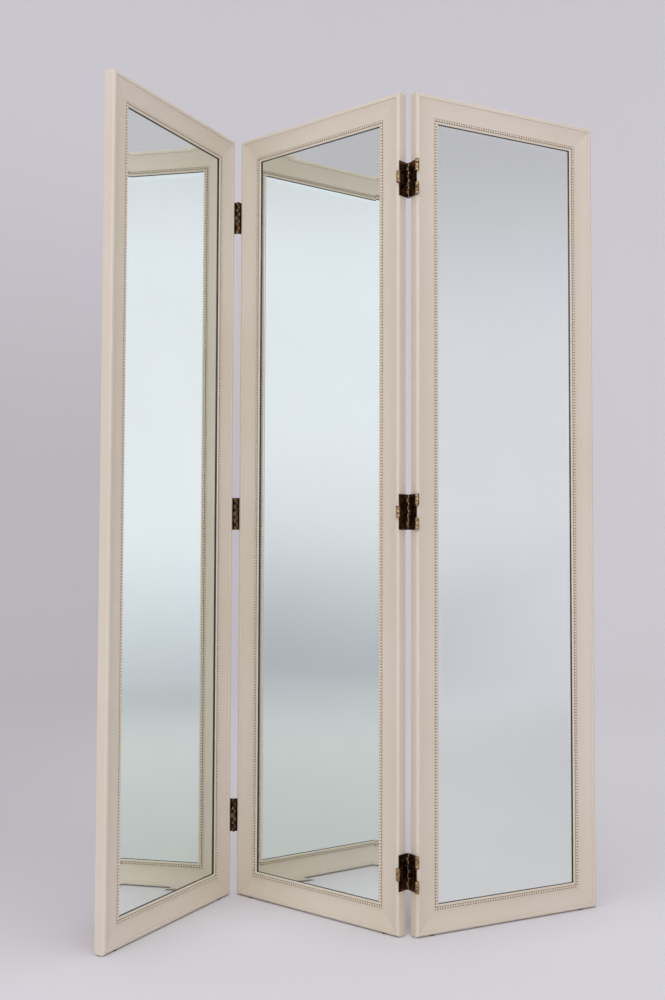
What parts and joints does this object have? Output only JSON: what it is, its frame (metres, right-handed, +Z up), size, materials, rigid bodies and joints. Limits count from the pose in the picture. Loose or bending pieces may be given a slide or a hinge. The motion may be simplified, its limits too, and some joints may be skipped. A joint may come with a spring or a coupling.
{
  "type": "folding screen",
  "caption": "Free-standing folding dressing screen of tall framed bevelled mirrors with pearl beading, joined by double-acting knuckle hinges that fold flat.",
  "frame": {"origin": "on the floor under the middle of the footprint at rest", "axes": "+Z up; the mirrors face towards -Y; +X to the right of someone facing the mirrors"},
  "size_m": [1.073, 0.4618, 1.8],
  "materials": {
    "frame_paint": "cream satin paint over wood moulding",
    "bead_paint": "cream satin paint over pearl beading, darker between the beads",
    "mirror_glass": "silvered glass with a polished bevel",
    "back_board": "brown hardboard",
    "spline_wood": "raw birch, hidden in the mitres",
    "clip_steel": "zinc-plated strip",
    "screw_bronze": "dark antique bronze",
    "hinge_bronze": "dark antique bronze, rubbed to gold on the knuckles",
    "pin_bronze": "antique bronze pin ends",
    "glide_plastic": "dark moulded plastic"
  },
  "bodies": {
    "left_panel": {"left_panel_left_stile": "frame_paint", "left_panel_right_stile": "frame_paint", "left_panel_top_rail": "frame_paint", "left_panel_bottom_rail": "frame_paint", "left_panel_beading": "bead_paint", "left_panel_mirror": "mirror_glass", "left_panel_back_board": "back_board", "left_panel_corner_splines": "spline_wood", "left_panel_back_clips": "clip_steel", "left_panel_screws": "screw_bronze", "left_panel_hinge_pins": "pin_bronze", "left_panel_floor_glides": "glide_plastic", "left_hinge_bottom_outer_leaf": "hinge_bronze", "left_hinge_bottom_outer_straps": "hinge_bronze", "left_hinge_centre_outer_leaf": "hinge_bronze", "left_hinge_centre_outer_straps": "hinge_bronze", "left_hinge_top_outer_leaf": "hinge_bronze", "left_hinge_top_outer_straps": "hinge_bronze"},
    "middle_panel": {"middle_panel_left_stile": "frame_paint", "middle_panel_right_stile": "frame_paint", "middle_panel_top_rail": "frame_paint", "middle_panel_bottom_rail": "frame_paint", "middle_panel_beading": "bead_paint", "middle_panel_mirror": "mirror_glass", "middle_panel_back_board": "back_board", "middle_panel_corner_splines": "spline_wood", "middle_panel_back_clips": "clip_steel", "middle_panel_screws": "screw_bronze", "middle_panel_hinge_pins": "pin_bronze", "middle_panel_floor_glides": "glide_plastic", "left_hinge_bottom_inner_leaf": "hinge_bronze", "left_hinge_bottom_middle_strap": "hinge_bronze", "left_hinge_centre_inner_leaf": "hinge_bronze", "left_hinge_centre_middle_strap": "hinge_bronze", "left_hinge_top_inner_leaf": "hinge_bronze", "left_hinge_top_middle_strap": "hinge_bronze", "right_hinge_bottom_inner_leaf": "hinge_bronze", "right_hinge_bottom_middle_strap": "hinge_bronze", "right_hinge_centre_inner_leaf": "hinge_bronze", "right_hinge_centre_middle_strap": "hinge_bronze", "right_hinge_top_inner_leaf": "hinge_bronze", "right_hinge_top_middle_strap": "hinge_bronze"},
    "right_panel": {"right_panel_left_stile": "frame_paint", "right_panel_right_stile": "frame_paint", "right_panel_top_rail": "frame_paint", "right_panel_bottom_rail": "frame_paint", "right_panel_beading": "bead_paint", "right_panel_mirror": "mirror_glass", "right_panel_back_board": "back_board", "right_panel_corner_splines": "spline_wood", "right_panel_back_clips": "clip_steel", "right_panel_screws": "screw_bronze", "right_panel_hinge_pins": "pin_bronze", "right_panel_floor_glides": "glide_plastic", "right_hinge_bottom_outer_leaf": "hinge_bronze", "right_hinge_bottom_outer_straps": "hinge_bronze", "right_hinge_centre_outer_leaf": "hinge_bronze", "right_hinge_centre_outer_straps": "hinge_bronze", "right_hinge_top_outer_leaf": "hinge_bronze", "right_hinge_top_outer_straps": "hinge_bronze"}
  },
  "joints": [
    {"name": "left_fold", "type": "hinge", "parent": "middle_panel", "child": "left_panel", "pos_m": [-0.29776, 0.19886, 0.9], "axis": [0, 0, 1], "range_deg": [-104, 76]},
    {"name": "right_fold", "type": "hinge", "parent": "middle_panel", "child": "right_panel", "pos_m": [0.09767, -0.08596, 0.9], "axis": [0, 0, 1], "range_deg": [-68, 112]}
  ]
}
